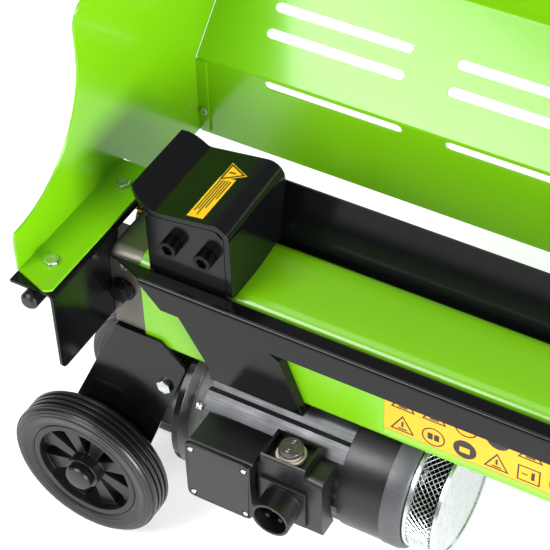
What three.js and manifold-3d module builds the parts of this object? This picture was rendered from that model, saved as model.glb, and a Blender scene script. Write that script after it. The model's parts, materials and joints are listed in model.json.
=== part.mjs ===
// Horizontal electric-hydraulic log splitter, millimetres, +Z up.
// +X runs along the beam from the motor end to the wedge, +Y from the operator's side to the guard.
// The working frame below puts the beam's motor end at x = 0, its middle at y = 0 and the ground at
// z = 0. The finished group is moved so that its origin is the bottom centre of the whole machine.
import * as THREE from "three";
import { mergeVertices } from "three/addons/utils/BufferGeometryUtils.js";
import Module from "manifold-3d";

const wasm = await Module();
wasm.setup();

// ---------------------------------------------------------------- driving dimensions
const GAP = 0.3; // between pieces that touch

const BEAM_LENGTH = 916;
const BEAM_HALF_WIDTH = 45;
const BEAM_BOTTOM = 271;
const BEAM_TOP = 382;
const BEAM_WALL = 4;
const BEAM_TOP_RADIUS = 15;
const BEAM_BOTTOM_RADIUS = 8;

const LOG_LENGTH = 520;
const STROKE = 380;
const PUSHER_FACE_X = 105;
const PUSHER_BACK_X = 17;
const PUSHER_HALF_WIDTH = 50.5;
const PUSHER_TOP_FRONT = 470.5;
const PUSHER_TOP_BACK = 458;
const CREASE_X = 25;
const LIP_RISE = 16;
const PLATE = 6;
const SIDE_PLATE = 5;
const PUSHER_BEND = 9;

const BLOCK_LEFT = -32.9;
const BLOCK_BOTTOM = 285;

const EAR_BOTTOM = 358;
const EAR_TOP = 372;

const CYLINDER_Z = 319;
const CYLINDER_RADIUS = 30;
const CYLINDER_BORE = 25;
const ROD_RADIUS = 12.5;
const CROSSHEAD_BACK = 34;
const CROSSHEAD_FRONT = 80;
const GLAND_X = CROSSHEAD_FRONT + STROKE + 14;
const PISTON_X = GLAND_X + 13;
const PISTON_LENGTH = 24;
const NUT_LENGTH = 9;

const RAIL_SHEET = 2.5;
const RAIL_INNER_Y = 51.2;
const RAIL_BOTTOM = 348;
const RAIL_TOP = 386;
const RAIL_END_X = 640;

const MOTOR_Y = -10;
const MOTOR_Z = 194;
const FRAME_RADIUS = 64;
const FRAME_START = 72.3;
const FRAME_END = 226;

const WHEEL_RADIUS = 86;
const WHEEL_WIDTH = 36;
const AXLE_X = -66;
const AXLE_RADIUS = 8;
const WHEEL_MIDDLE_Y = 73;

const GUARD_SHEET = 2.5;
const GUARD_LEFT_X = -80.5;
const GUARD_RIGHT_X = 822;
const GUARD_BACK_Y = 192;
const GUARD_TOP = 611;
const FLANGE_Z = 397;

const WEDGE_EDGE_X = PUSHER_FACE_X + LOG_LENGTH + 1;

// ---------------------------------------------------------------- helpers
const group = new THREE.Group();

// A closed three.js geometry as a solid that can be joined and cut.
function solid(geometry) {
  const bare = geometry.index ? geometry.toNonIndexed() : geometry.clone();
  bare.deleteAttribute("normal");
  bare.deleteAttribute("uv");
  const merged = mergeVertices(bare, 1e-4);
  return new wasm.Manifold(
    new wasm.Mesh({
      numProp: 3,
      vertProperties: merged.attributes.position.array,
      triVerts: new Uint32Array(merged.index.array),
    }),
  );
}

function piece(name, body, material) {
  const made = body.getMesh();
  const geometry = new THREE.BufferGeometry();
  geometry.setAttribute("position", new THREE.BufferAttribute(made.vertProperties, 3));
  geometry.setIndex(new THREE.BufferAttribute(made.triVerts, 1));
  geometry.computeVertexNormals();
  const mesh = new THREE.Mesh(geometry, material);
  mesh.name = name;
  group.add(mesh);
}

const joined = (...bodies) => bodies.reduce((all, body) => all.add(body));
const cut = (body, ...tools) => tools.reduce((left, tool) => left.subtract(tool), body);

function box(x0, x1, y0, y1, z0, z1) {
  const geometry = new THREE.BoxGeometry(x1 - x0, y1 - y0, z1 - z0);
  return solid(geometry.translate((x0 + x1) / 2, (y0 + y1) / 2, (z0 + z1) / 2));
}

const AXES = {
  X: new THREE.Matrix4().makeBasis(
    new THREE.Vector3(0, 1, 0),
    new THREE.Vector3(0, 0, 1),
    new THREE.Vector3(1, 0, 0),
  ),
  Y: new THREE.Matrix4().makeBasis(
    new THREE.Vector3(0, 0, 1),
    new THREE.Vector3(1, 0, 0),
    new THREE.Vector3(0, 1, 0),
  ),
  Z: new THREE.Matrix4(),
};

// An outline pushed along one axis: (y, z) points for X, (x, z) points for Y, (x, y) points for Z.
function prism(axis, points, from, to, holes = []) {
  const ordered = (list) => list.map(([a, b]) => (axis === "Y" ? [b, a] : [a, b]));
  const shape = new THREE.Shape(ordered(points).map(([a, b]) => new THREE.Vector2(a, b)));
  const geometry = new THREE.ExtrudeGeometry(shape, { depth: to - from, bevelEnabled: false });
  geometry.translate(0, 0, from);
  const body = solid(geometry.applyMatrix4(AXES[axis]));
  return cut(body, ...holes.map((hole) => prism(axis, hole, from - 1, to + 1)));
}

// A solid of revolution: profile points are (radius, place along the axis).
function turned(axis, centre, profile, segments = 32) {
  const geometry = new THREE.LatheGeometry(
    profile.map(([r, h]) => new THREE.Vector2(r, h)),
    segments,
  );
  geometry.rotateX(Math.PI / 2);
  geometry.applyMatrix4(AXES[axis]);
  const [a, b] = centre;
  const shift = { X: [0, a, b], Y: [a, 0, b], Z: [a, b, 0] }[axis];
  const body = solid(geometry.translate(...shift));
  return body;
}

const rod = (axis, centre, radius, from, to, segments = 24) =>
  turned(axis, centre, [[0, from], [radius, from], [radius, to], [0, to]], segments);

const ring = (axis, centre, outer, inner, from, to, segments = 32) =>
  turned(
    axis,
    centre,
    [[inner, from], [outer, from], [outer, to], [inner, to], [inner, from]],
    segments,
  );

const between = (a, b, t) => [a[0] + (b[0] - a[0]) * t, a[1] + (b[1] - a[1]) * t];
const distance = (a, b) => Math.hypot(b[0] - a[0], b[1] - a[1]);

// Rounds the corner at b, between a and c, with a true arc.
function arcCorner(a, b, c, radius, steps) {
  const toA = [(a[0] - b[0]) / distance(a, b), (a[1] - b[1]) / distance(a, b)];
  const toC = [(c[0] - b[0]) / distance(b, c), (c[1] - b[1]) / distance(b, c)];
  const angle = Math.acos(THREE.MathUtils.clamp(toA[0] * toC[0] + toA[1] * toC[1], -1, 1));
  if (radius <= 0 || Math.PI - angle < 1e-3) return [b];
  const reach = radius / Math.tan(angle / 2);
  const start = [b[0] + toA[0] * reach, b[1] + toA[1] * reach];
  const end = [b[0] + toC[0] * reach, b[1] + toC[1] * reach];
  const middle = between(start, end, 0.5);
  const away = distance(b, middle);
  const far = Math.hypot(radius, reach) / away;
  const centre = [b[0] + (middle[0] - b[0]) * far, b[1] + (middle[1] - b[1]) * far];
  const first = Math.atan2(start[1] - centre[1], start[0] - centre[0]);
  let sweep = Math.atan2(end[1] - centre[1], end[0] - centre[0]) - first;
  if (sweep > Math.PI) sweep -= 2 * Math.PI;
  if (sweep < -Math.PI) sweep += 2 * Math.PI;
  return Array.from({ length: steps + 1 }, (_, i) => {
    const at = first + (sweep * i) / steps;
    return [centre[0] + radius * Math.cos(at), centre[1] + radius * Math.sin(at)];
  });
}

// A closed outline with rounded corners; radii holds one radius per point.
function rounded(points, radii, steps = 4) {
  const n = points.length;
  const radiusAt = (i) => (Array.isArray(radii) ? radii[i] : radii);
  return points.flatMap((p, i) =>
    arcCorner(points[(i + n - 1) % n], p, points[(i + 1) % n], radiusAt(i), steps),
  );
}

const rectangle = (a0, a1, b0, b1) => [[a0, b0], [a1, b0], [a1, b1], [a0, b1]];

// The outline of a folded sheet. The path is one face of the sheet; the sheet lies on its left.
function sheet(path, thickness, bend, steps = 3) {
  const sides = path.slice(1).map((p, i) => {
    const length = distance(path[i], p);
    return [-(p[1] - path[i][1]) / length, (p[0] - path[i][0]) / length];
  });
  const other = path.map((p, i) => {
    const before = sides[Math.max(i - 1, 0)];
    const after = sides[Math.min(i, sides.length - 1)];
    const scale = thickness / (1 + before[0] * after[0] + before[1] * after[1]);
    return [p[0] + (before[0] + after[0]) * scale, p[1] + (before[1] + after[1]) * scale];
  });
  const roundPath = (line, onLeft) =>
    line.flatMap((p, i) => {
      if (i === 0 || i === line.length - 1) return [p];
      const turn = sides[i - 1][0] * sides[i][1] - sides[i - 1][1] * sides[i][0];
      const inside = turn > 0 === onLeft;
      return arcCorner(line[i - 1], p, line[i + 1], inside ? bend : bend + thickness, steps);
    });
  return [...roundPath(path, false), ...roundPath(other, true).reverse()];
}

const circle = (centre, radius, count = 24) =>
  Array.from({ length: count }, (_, i) => {
    const at = (2 * Math.PI * i) / count;
    return [centre[0] + radius * Math.cos(at), centre[1] + radius * Math.sin(at)];
  });

// A round-ended slot along the first coordinate.
const slot = (x0, x1, middle, half) =>
  rounded(rectangle(x0, x1, middle - half, middle + half), half * 0.999, 2);

const finish = (color, roughness, metalness) =>
  new THREE.MeshStandardMaterial({ color, roughness, metalness });

// ---------------------------------------------------------------- finishes
const GREEN_PAINT = finish("#7fd31c", 0.25, 0);
const BLACK_PAINT = finish("#1b1b1d", 0.3, 0);
const CAST_ALUMINIUM = finish("#b9b8b3", 0.5, 1);
const STEEL = finish("#8d8f92", 0.4, 1);
const CHROME = finish("#d9dcdf", 0.12, 1);
const ZINC = finish("#c9ccd0", 0.3, 1);
const BLACK_OXIDE = finish("#26262a", 0.45, 1);
const BLACK_PLASTIC = finish("#1d1d1f", 0.5, 0);
const RUBBER = finish("#2a2a2c", 0.75, 0);
const COPPER = finish("#a5683a", 0.45, 1);
const PALE_PLASTIC = finish("#dcd8cc", 0.4, 0);
const BRASS = finish("#c2a35a", 0.35, 1);

// ---------------------------------------------------------------- beam and end castings
const BEAM_CROWN = 1.6; // the top falls this much from its flat middle to each side
const BEAM_FLAT_HALF = 17;
function beamOutline(inset) {
  const half = BEAM_HALF_WIDTH - inset;
  const top = BEAM_TOP - inset;
  const points = [
    [-half, BEAM_BOTTOM + inset],
    [half, BEAM_BOTTOM + inset],
    [half, top - BEAM_CROWN],
    [BEAM_FLAT_HALF, top],
    [-BEAM_FLAT_HALF, top],
    [-half, top - BEAM_CROWN],
  ];
  const bottom = BEAM_BOTTOM_RADIUS - inset;
  const shoulder = BEAM_TOP_RADIUS - inset;
  return rounded(points, [bottom, bottom, shoulder, 0, 0, shoulder], 4);
}

const SLOT_START = 28;
const SLOT_END = CROSSHEAD_FRONT + STROKE + 8;
const DIPSTICK_Z = 366;

piece(
  "beam_housing",
  cut(
    prism("X", beamOutline(0), 0, BEAM_LENGTH),
    prism("X", beamOutline(BEAM_WALL), -1, BEAM_LENGTH + 1),
    box(SLOT_START, SLOT_END, -60, 60, EAR_BOTTOM - 1, EAR_TOP + 1),
  ),
  GREEN_PAINT,
);

// The pump block closes the motor end and holds the control valve's spool in an upright bore.
const SPOOL_X = -57;
const SPOOL_Y = -5;
const SPOOL_RADIUS = 6;
const SPOOL_TOP = 368;
const VALVE_TOP = 360;
const BLEED_Y = 24;
const BLEED_Z = 366;
piece(
  "pump_block",
  cut(
    joined(
      prism(
        "X",
        rounded(
          rectangle(-BEAM_HALF_WIDTH, BEAM_HALF_WIDTH, BLOCK_BOTTOM, BEAM_TOP - 1),
          [3, 3, BEAM_TOP_RADIUS, BEAM_TOP_RADIUS],
        ),
        BLOCK_LEFT,
        -GAP,
      ),
      box(-GAP - 1, 16, -40, 40, 290, 366),
      box(SPOOL_X - 13, BLOCK_LEFT + 1, SPOOL_Y - 16, SPOOL_Y + 16, 315, VALVE_TOP),
    ),
    rod("Z", [SPOOL_X, SPOOL_Y], SPOOL_RADIUS + GAP, 322, 400),
    rod("X", [BLEED_Y, BLEED_Z], 4.3, BLOCK_LEFT - 1, BLOCK_LEFT + 14, 16),
  ),
  CAST_ALUMINIUM,
);

const END_COVER_X = BEAM_LENGTH + 16;
piece(
  "end_cover",
  cut(
    joined(
      prism("X", beamOutline(0), BEAM_LENGTH + GAP, END_COVER_X),
      box(BEAM_LENGTH - 12, BEAM_LENGTH + 1, -39, 39, 277, DIPSTICK_Z - 4),
    ),
    rod("X", [0, CYLINDER_Z], CYLINDER_RADIUS + GAP, BEAM_LENGTH - 13, BEAM_LENGTH - 6),
    rod("X", [0, DIPSTICK_Z], 5, BEAM_LENGTH - 20, END_COVER_X + 5, 16),
  ),
  CAST_ALUMINIUM,
);

// ---------------------------------------------------------------- hydraulic cylinder
const CYLINDER_END = BEAM_LENGTH - 6 - GAP;
const CYLINDER_FLOOR = 7;
piece(
  "cylinder_tube",
  cut(
    rod("X", [0, CYLINDER_Z], CYLINDER_RADIUS, GLAND_X + GAP, CYLINDER_END, 32),
    rod("X", [0, CYLINDER_Z], CYLINDER_BORE, GLAND_X - 1, CYLINDER_END - CYLINDER_FLOOR, 32),
    rod("Z", [CYLINDER_END - 24, 0], 4, CYLINDER_Z, CYLINDER_Z + 50, 12),
  ),
  STEEL,
);
piece(
  "cylinder_gland",
  cut(
    joined(
      rod("X", [0, CYLINDER_Z], CYLINDER_RADIUS + 4, GLAND_X - 12, GLAND_X, 32),
      rod("X", [0, CYLINDER_Z], CYLINDER_BORE - GAP, GLAND_X - 1, GLAND_X + 10, 32),
    ),
    rod("X", [0, CYLINDER_Z], ROD_RADIUS + GAP, GLAND_X - 13, GLAND_X + 11, 32),
  ),
  STEEL,
);
piece(
  "piston",
  cut(
    rod("X", [0, CYLINDER_Z], CYLINDER_BORE - GAP, PISTON_X, PISTON_X + PISTON_LENGTH, 32),
    ring("X", [0, CYLINDER_Z], CYLINDER_BORE + 2, CYLINDER_BORE - 4, PISTON_X + 8, PISTON_X + 16),
    rod("X", [0, CYLINDER_Z], 8 + GAP, PISTON_X - 1, PISTON_X + PISTON_LENGTH + 1, 24),
  ),
  STEEL,
);
piece(
  "piston_seal",
  ring(
    "X",
    [0, CYLINDER_Z],
    CYLINDER_BORE - 0.1,
    CYLINDER_BORE - 4 + GAP,
    PISTON_X + 8 + GAP,
    PISTON_X + 16 - GAP,
  ),
  RUBBER,
);

// The rod is pulled into the cylinder, so the pusher travels towards the wedge.
const NUT_X = PISTON_X + PISTON_LENGTH + GAP;
piece(
  "piston_rod",
  joined(
    rod("X", [0, CYLINDER_Z], ROD_RADIUS, CROSSHEAD_FRONT - 30, PISTON_X - GAP, 32),
    rod("X", [0, CYLINDER_Z], 8, PISTON_X - 1, PISTON_X + PISTON_LENGTH + 4, 24),
    rod("X", [0, CYLINDER_Z], 12, NUT_X, NUT_X + NUT_LENGTH, 6),
  ),
  CHROME,
);
piece(
  "crosshead",
  cut(
    joined(
      box(CROSSHEAD_BACK, CROSSHEAD_FRONT, -36, 36, 300, EAR_TOP),
      box(CROSSHEAD_BACK, CROSSHEAD_FRONT, -45.2, 45.2, EAR_BOTTOM, EAR_TOP),
    ),
    rod("X", [0, CYLINDER_Z], ROD_RADIUS + GAP, CROSSHEAD_FRONT - 30 - GAP, 200),
  ),
  STEEL,
);

// ---------------------------------------------------------------- pusher
const TOP_SLOPE = (PUSHER_TOP_FRONT - PUSHER_TOP_BACK) / (PUSHER_FACE_X - CREASE_X);
const topAt = (x) => PUSHER_TOP_BACK + (x - CREASE_X) * TOP_SLOPE;
const FACE_BOTTOM = BEAM_TOP + 0.8;
const LIP_TIP_X = 0;

// One folded plate: the curled lip at the back, the top, and the face that pushes the log.
const pusherPlan = rounded(
  rectangle(LIP_TIP_X - 8, PUSHER_FACE_X + 5, -PUSHER_HALF_WIDTH, PUSHER_HALF_WIDTH),
  [26, 0, 0, 26],
  6,
);
const faceOutline = [
  [-PUSHER_HALF_WIDTH, FACE_BOTTOM + 3],
  [-BEAM_HALF_WIDTH, FACE_BOTTOM],
  [0, FACE_BOTTOM],
  [28, FACE_BOTTOM + 4],
  [34, FACE_BOTTOM + 6],
  [PUSHER_HALF_WIDTH, FACE_BOTTOM + 64],
  [PUSHER_HALF_WIDTH, PUSHER_TOP_FRONT + 60],
  [-PUSHER_HALF_WIDTH, PUSHER_TOP_FRONT + 60],
];
piece(
  "push_plate",
  prism(
    "Y",
    sheet(
      [
        [PUSHER_FACE_X, FACE_BOTTOM - 2],
        [PUSHER_FACE_X, PUSHER_TOP_FRONT],
        [CREASE_X, PUSHER_TOP_BACK],
        [LIP_TIP_X, PUSHER_TOP_BACK + LIP_RISE],
      ],
      PLATE,
      PUSHER_BEND,
      5,
    ),
    -PUSHER_HALF_WIDTH - 1,
    PUSHER_HALF_WIDTH + 1,
  )
    .intersect(prism("Z", pusherPlan, 300, 600))
    .intersect(prism("X", faceOutline, -50, 200)),
  BLACK_PAINT,
);

const underTop = (x) => topAt(x) - PLATE / Math.cos(Math.atan(TOP_SLOPE)) - GAP;
const sideFront = PUSHER_FACE_X - PLATE - GAP;
const SIDE_BOTTOM = EAR_BOTTOM - 3;
const CORNER_CUT = PUSHER_BEND;
const sideOutline = rounded(
  [
    [PUSHER_BACK_X, SIDE_BOTTOM],
    [sideFront, SIDE_BOTTOM],
    [sideFront, underTop(sideFront) - CORNER_CUT],
    [sideFront - CORNER_CUT, underTop(sideFront - CORNER_CUT)],
    [CREASE_X + 4, underTop(CREASE_X + 4)],
    [PUSHER_BACK_X, underTop(CREASE_X)],
  ],
  [6, 6, 0, 0, 0, 4],
);
const SCREW_X = [46, 82];
const SCREW_Z = 429;
const screwHoles = SCREW_X.map((x) => circle([x, SCREW_Z], 6.3, 16));
piece(
  "pusher_side_front",
  prism(
    "Y",
    sideOutline,
    -PUSHER_HALF_WIDTH,
    -PUSHER_HALF_WIDTH + SIDE_PLATE,
    screwHoles,
  ),
  BLACK_PAINT,
);
piece(
  "pusher_side_rear",
  prism("Y", sideOutline, PUSHER_HALF_WIDTH - SIDE_PLATE, PUSHER_HALF_WIDTH, screwHoles),
  BLACK_PAINT,
);
const INNER_HALF = PUSHER_HALF_WIDTH - SIDE_PLATE - GAP;
const BLOCK_BASE = BEAM_TOP + 5;
piece(
  "pusher_block",
  cut(
    prism(
      "Y",
      [
        [PUSHER_BACK_X + 6, BLOCK_BASE],
        [sideFront, BLOCK_BASE],
        [sideFront, underTop(sideFront) - CORNER_CUT - 2],
        [sideFront - CORNER_CUT, underTop(sideFront - CORNER_CUT) - 4],
        [PUSHER_BACK_X + 6, underTop(CREASE_X) - 8],
      ],
      -INNER_HALF,
      INNER_HALF,
    ),
    ...SCREW_X.flatMap((x) => [
      rod("Y", [x, SCREW_Z], 6.3, -60, -18, 16),
      rod("Y", [x, SCREW_Z], 6.3, 18, 60, 16),
    ]),
  ),
  BLACK_PAINT,
);
piece(
  "slide_pad",
  box(PUSHER_BACK_X + 8, sideFront - 4, -28, 28, BEAM_TOP + 0.1, BLOCK_BASE - GAP),
  PALE_PLASTIC,
);

// Socket cap screws, M12, two on each side of the pusher.
const SCREW_NAMES = [
  ["pusher_screw_front_1", -1, SCREW_X[0]],
  ["pusher_screw_front_2", -1, SCREW_X[1]],
  ["pusher_screw_rear_1", 1, SCREW_X[0]],
  ["pusher_screw_rear_2", 1, SCREW_X[1]],
];
SCREW_NAMES.forEach(([name, side, x]) => {
  const head = side * (PUSHER_HALF_WIDTH + GAP);
  const span = (a, b) => (side < 0 ? [head - b, head - a] : [head + a, head + b]);
  const place = (radius, a, b, count) => rod("Y", [x, SCREW_Z], radius, ...span(a, b), count);
  piece(name, cut(joined(place(9, 0, 12, 20), place(6, -28, 1, 16)), place(5.6, 6, 13, 6)), BLACK_OXIDE);
});

// ---------------------------------------------------------------- log rails and their brackets
// The front rail is an inverted channel; its motor end is cut to a point.
const FRONT_RAIL_FOLD_Y = -70;
const frontRail = prism(
  "X",
  sheet(
    [
      [-RAIL_INNER_Y, RAIL_BOTTOM],
      [-RAIL_INNER_Y, RAIL_TOP],
      [FRONT_RAIL_FOLD_Y, RAIL_TOP],
      [FRONT_RAIL_FOLD_Y, RAIL_TOP - 30],
    ],
    RAIL_SHEET,
    1.5,
  ),
  -28,
  RAIL_END_X,
);
piece(
  "front_rail",
  cut(
    frontRail,
    box(-40, 20, -60, -40, 300, RAIL_TOP - RAIL_SHEET - 1),
    prism("Z", [[-40, -51], [-28, -51], [16, -68], [16, -80], [-40, -80]], 300, 400),
    prism("Y", [[-40, RAIL_TOP - 3], [14, RAIL_TOP - 3], [39, RAIL_TOP - 31], [39, 300], [-40, 300]], -80, -56),
  ),
  BLACK_PAINT,
);
// The rear rail stands beside the beam and leans outwards, so that a log can't roll off.
const REAR_RAIL_LEAN = THREE.MathUtils.degToRad(18);
const REAR_RAIL_BEND_Z = 376;
const REAR_RAIL_HEIGHT = 57;
piece(
  "rear_rail",
  prism(
    "X",
    sheet(
      [
        [
          RAIL_INNER_Y + REAR_RAIL_HEIGHT * Math.sin(REAR_RAIL_LEAN),
          REAR_RAIL_BEND_Z + REAR_RAIL_HEIGHT * Math.cos(REAR_RAIL_LEAN),
        ],
        [RAIL_INNER_Y, REAR_RAIL_BEND_Z],
        [RAIL_INNER_Y, RAIL_BOTTOM],
      ],
      RAIL_SHEET,
      2,
    ),
    20,
    RAIL_END_X,
  ),
  BLACK_PAINT,
);

// Saddles pass under the beam and hold both rails; their sides lean towards the wedge.
const BRACKET_INNER_Y = 54;
const BRACKET_SHEET = 3;
const BRACKET_WEB_TOP = BEAM_BOTTOM - GAP;
const bracketOutline = [
  [28, 373],
  [45, 345],
  [78, 287],
  [80, 262],
  [178, 262],
  [178, 271],
  [155, 333],
  [146, 339],
  [138, 373],
];
function railBracket(shift) {
  const outer = BRACKET_INNER_Y + BRACKET_SHEET;
  const saddle = prism(
    "X",
    sheet(
      [
        [-outer, 373],
        [-outer, BRACKET_WEB_TOP - BRACKET_SHEET],
        [outer, BRACKET_WEB_TOP - BRACKET_SHEET],
        [outer, 373],
      ],
      BRACKET_SHEET,
      3,
    ),
    0,
    200,
  ).intersect(prism("Y", bracketOutline, -100, 100));
  const lip = (y0, y1) =>
    prism("Y", [[175, 272], [153, 333], [156, 333], [178, 272]], y0, y1);
  return joined(
    saddle,
    lip(-outer + 1, -BEAM_HALF_WIDTH - 2),
    lip(BEAM_HALF_WIDTH + 2, outer - 1),
  ).translate([shift, 0, 0]);
}
piece("rail_bracket_motor_end", railBracket(0), BLACK_PAINT);
piece("rail_bracket_wedge_end", railBracket(430), BLACK_PAINT);

// ---------------------------------------------------------------- wedge
const WEDGE_BASE_TOP = BEAM_TOP + GAP + 10;
const WEDGE_HEIGHT = 165;
piece(
  "wedge_base",
  box(WEDGE_EDGE_X - 22, WEDGE_EDGE_X + 146, -40, 40, BEAM_TOP + GAP, WEDGE_BASE_TOP),
  BLACK_PAINT,
);
piece(
  "wedge_blade",
  joined(
    prism(
      "Z",
      [
        [WEDGE_EDGE_X, 0.8],
        [WEDGE_EDGE_X, -0.8],
        [WEDGE_EDGE_X + 50, -10],
        [WEDGE_EDGE_X + 76, -24],
        [WEDGE_EDGE_X + 84, -24],
        [WEDGE_EDGE_X + 84, 24],
        [WEDGE_EDGE_X + 76, 24],
        [WEDGE_EDGE_X + 50, 10],
      ],
      WEDGE_BASE_TOP + GAP,
      WEDGE_BASE_TOP + WEDGE_HEIGHT,
    ),
    prism(
      "Y",
      [
        [WEDGE_EDGE_X + 80, WEDGE_BASE_TOP + GAP],
        [WEDGE_EDGE_X + 140, WEDGE_BASE_TOP + GAP],
        [WEDGE_EDGE_X + 140, WEDGE_BASE_TOP + 20],
        [WEDGE_EDGE_X + 80, WEDGE_BASE_TOP + WEDGE_HEIGHT - 30],
      ],
      -5,
      5,
    ),
  ),
  BLACK_PAINT,
);

// ---------------------------------------------------------------- guard
// End plate: a quarter-round hollow in its front edge leaves room for the operator's hands.
const ARC_CENTRE = [-118, 561];
const ARC_RADIUS = 120;
const frontHollow = Array.from({ length: 13 }, (_, i) => {
  const at = -Math.PI / 2 + (Math.PI / 2) * (i / 12);
  return [ARC_CENTRE[0] + ARC_RADIUS * Math.cos(at), ARC_CENTRE[1] + ARC_RADIUS * Math.sin(at)];
});
const PANEL_BEND_Z = 429;
const PANEL_SET_BACK = 92;
const endPlateOutline = [
  [-121, FLANGE_Z + 1.2],
  [-121, 430],
  [-119.5, 437],
  ...frontHollow,
  ...arcCorner([2, 561], [2, GUARD_TOP], [280, GUARD_TOP], 26, 5),
  [GUARD_BACK_Y + PANEL_SET_BACK, GUARD_TOP],
  [GUARD_BACK_Y + PANEL_SET_BACK, PANEL_BEND_Z + PANEL_SET_BACK],
  [GUARD_BACK_Y, PANEL_BEND_Z],
  [GUARD_BACK_Y, 336],
  [76, 336],
  [66, 385],
  [55, FLANGE_Z + 1.2],
];
// side = 1 puts the flange towards +X, side = -1 towards -X.
function guardEndPlate(x, side) {
  const along = (a, b) => (side > 0 ? [x + a, x + b] : [x - b, x - a]);
  const returnFlange = prism(
    "X",
    sheet([[GUARD_BACK_Y, 336], [GUARD_BACK_Y, PANEL_BEND_Z - 3]], GUARD_SHEET, 0),
    ...along(1, 14.5),
  );
  const flangeOutline = rounded(
    [[0.5, -121], [38, -134], [44, -129], [44, 52], [0.5, 52]].map(([a, y]) => [x + side * a, y]),
    [0, 6, 4, 0, 0],
  );
  const flange = prism("Z", flangeOutline, FLANGE_Z + GAP, FLANGE_Z + GAP + GUARD_SHEET);
  const bolts = [-99, 21].map((y) => rod("Z", [x + side * 23, y], 4.5, 380, 420, 16));
  const upright = prism("X", endPlateOutline, ...along(0, GUARD_SHEET));
  return cut(joined(upright, flange, returnFlange), ...bolts);
}
piece("guard_end_plate_motor_end", guardEndPlate(GUARD_LEFT_X, 1), GREEN_PAINT);
piece("guard_end_plate_wedge_end", guardEndPlate(GUARD_RIGHT_X, -1), GREEN_PAINT);

const PANEL_Y = GUARD_BACK_Y + GAP;
const panelPath = [
  [PANEL_Y, 332],
  [PANEL_Y, PANEL_BEND_Z],
  [PANEL_Y + PANEL_SET_BACK, PANEL_BEND_Z + PANEL_SET_BACK],
  [PANEL_Y + PANEL_SET_BACK, GUARD_TOP - 3],
];
const SLOT_LENGTH = 152;
const SLOT_PITCH = 197.5;
const slotStarts = [0, 1, 2, 3].map((i) => i * SLOT_PITCH);
const lowerSlots = slotStarts.map((x) =>
  prism("Y", slot(x, x + SLOT_LENGTH, 421, 5), PANEL_Y - 20, PANEL_Y + 20),
);
// Slots of the sloped part are cut square to it, so they are made level and then tipped.
const slopedSlots = [44, 71].flatMap((up) =>
  slotStarts.map((x) =>
    prism("Z", slot(x - 14, x - 14 + SLOT_LENGTH, 0, 5), -12, 12)
      .rotate([45, 0, 0])
      .translate([0, PANEL_Y + up * Math.SQRT1_2, PANEL_BEND_Z + up * Math.SQRT1_2]),
  ),
);
piece(
  "guard_back_panel",
  cut(
    prism(
      "X",
      sheet([...panelPath].reverse(), GUARD_SHEET, 3),
      GUARD_LEFT_X + GUARD_SHEET + GAP,
      GUARD_RIGHT_X - GUARD_SHEET - GAP,
    ),
    ...lowerSlots,
    ...slopedSlots,
  ),
  GREEN_PAINT,
);

// Mount plate at the motor end: its web stands against the pump block.
const MOUNT_SHEET = 3;
const WEB_X = -33.2;
const mountOutline = rounded(rectangle(-134, 52, 300, FLANGE_Z), [8, 3, 0, 0]);
piece(
  "guard_mount_motor_end",
  cut(
    prism(
      "Y",
      sheet([[WEB_X, 300], [WEB_X, FLANGE_Z], [-80, FLANGE_Z]], MOUNT_SHEET, 3),
      -134,
      52,
    ).intersect(prism("X", mountOutline, -100, 0)),
    box(-50, -20, -30, 36, 308, 392),
    ...[-99, 21].map((y) => rod("Z", [GUARD_LEFT_X + 23, y], 4.5, 380, 420, 16)),
  ),
  BLACK_PAINT,
);
// Mount plate at the wedge end: it straddles the beam.
const FAR_WEB_X = GUARD_RIGHT_X - 44;
piece(
  "guard_mount_wedge_end",
  cut(
    prism(
      "Y",
      sheet(
        [[GUARD_RIGHT_X - 3, FLANGE_Z], [FAR_WEB_X, FLANGE_Z], [FAR_WEB_X, 300]],
        MOUNT_SHEET,
        3,
      ),
      -134,
      52,
    ).intersect(prism("X", mountOutline, 700, 900)),
    box(700, 900, -BEAM_HALF_WIDTH - GAP, BEAM_HALF_WIDTH + GAP, 290, BEAM_TOP + GAP),
    ...[-99, 21].map((y) => rod("Z", [GUARD_RIGHT_X - 23, y], 4.5, 380, 420, 16)),
  ),
  BLACK_PAINT,
);

// ---------------------------------------------------------------- wheels
const LEG_INNER_Y = 46;
const LEG_SHEET = 3;
const legOutline = rounded(
  [
    [-32, BLOCK_BOTTOM - GAP],
    [19, BLOCK_BOTTOM - GAP],
    [46, 259],
    [14, 175],
    [-26, WHEEL_RADIUS - 18],
    [-66, WHEEL_RADIUS - 30],
    [-108, WHEEL_RADIUS - 6],
    [-92, 154],
  ],
  [0, 0, 6, 0, 14, 20, 14, 0],
);
const axleHole = rod("Y", [AXLE_X, WHEEL_RADIUS], AXLE_RADIUS + GAP, -200, 200, 24);
const legs = [-1, 1].map((side) => {
  const y = side * LEG_INNER_Y;
  return prism("Y", legOutline, Math.min(y, y + side * LEG_SHEET), Math.max(y, y + side * LEG_SHEET));
});
piece(
  "wheel_bracket",
  cut(
    joined(
      ...legs,
      box(-32, -1, -LEG_INNER_Y - 1, LEG_INNER_Y + 1, BLOCK_BOTTOM - GAP - LEG_SHEET, BLOCK_BOTTOM - GAP),
    ),
    axleHole,
    rod("Y", [20, 224], 5.3, -200, 200, 16),
  ),
  BLACK_PAINT,
);
piece(
  "axle",
  joined(
    rod("Y", [AXLE_X, WHEEL_RADIUS], AXLE_RADIUS, -98, 98, 24),
    rod("Y", [AXLE_X, WHEEL_RADIUS], AXLE_RADIUS + 4, 97, 100, 24),
    rod("Y", [AXLE_X, WHEEL_RADIUS], AXLE_RADIUS + 4, -100, -97, 24),
  ),
  ZINC,
);
const RIM_RADIUS = 62;
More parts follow.
